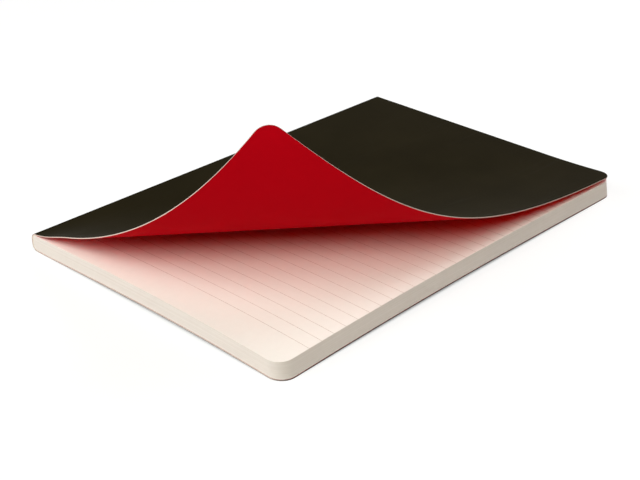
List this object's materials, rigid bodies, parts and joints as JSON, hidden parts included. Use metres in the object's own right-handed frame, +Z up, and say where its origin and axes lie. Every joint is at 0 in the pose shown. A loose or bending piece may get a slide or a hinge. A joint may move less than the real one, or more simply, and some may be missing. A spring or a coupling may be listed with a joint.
{
  "type": "lined notebook",
  "caption": "Soft-cover notebook of ruled paper with a glued back and rounded fore corners, lying shut with the free corner of its front cover rolled up.",
  "frame": {"origin": "middle of the shut notebook's footprint, on the surface it lies on", "axes": "+X from the spine to the fore-edge, +Y from the tail to the head, +Z up out of the front cover"},
  "size_m": [0.14, 0.21, 0.0778],
  "materials": {
    "page_paper": "uncoated ivory paper with thin grey ruling",
    "binding_glue": "set hot-melt binding glue",
    "cover_card": "satin black card, red on its inside, pale where it is cut"
  },
  "bodies": {
    "book": {"page_block": "page_paper", "spine_glue": "binding_glue", "cover_spine": "cover_card"},
    "front": {"front_cover": "cover_card"},
    "back": {"back_cover": "cover_card"}
  },
  "joints": [
    {"name": "front_cover_hinge", "type": "hinge", "parent": "book", "child": "front", "pos_m": [-0.067, 0, 0.00816], "axis": [0, -1, 0], "range_deg": [0, 180]},
    {"name": "back_cover_hinge", "type": "hinge", "parent": "book", "child": "back", "pos_m": [-0.067, 0, -0.0003], "axis": [0, 1, 0], "range_deg": [0, 120]}
  ]
}
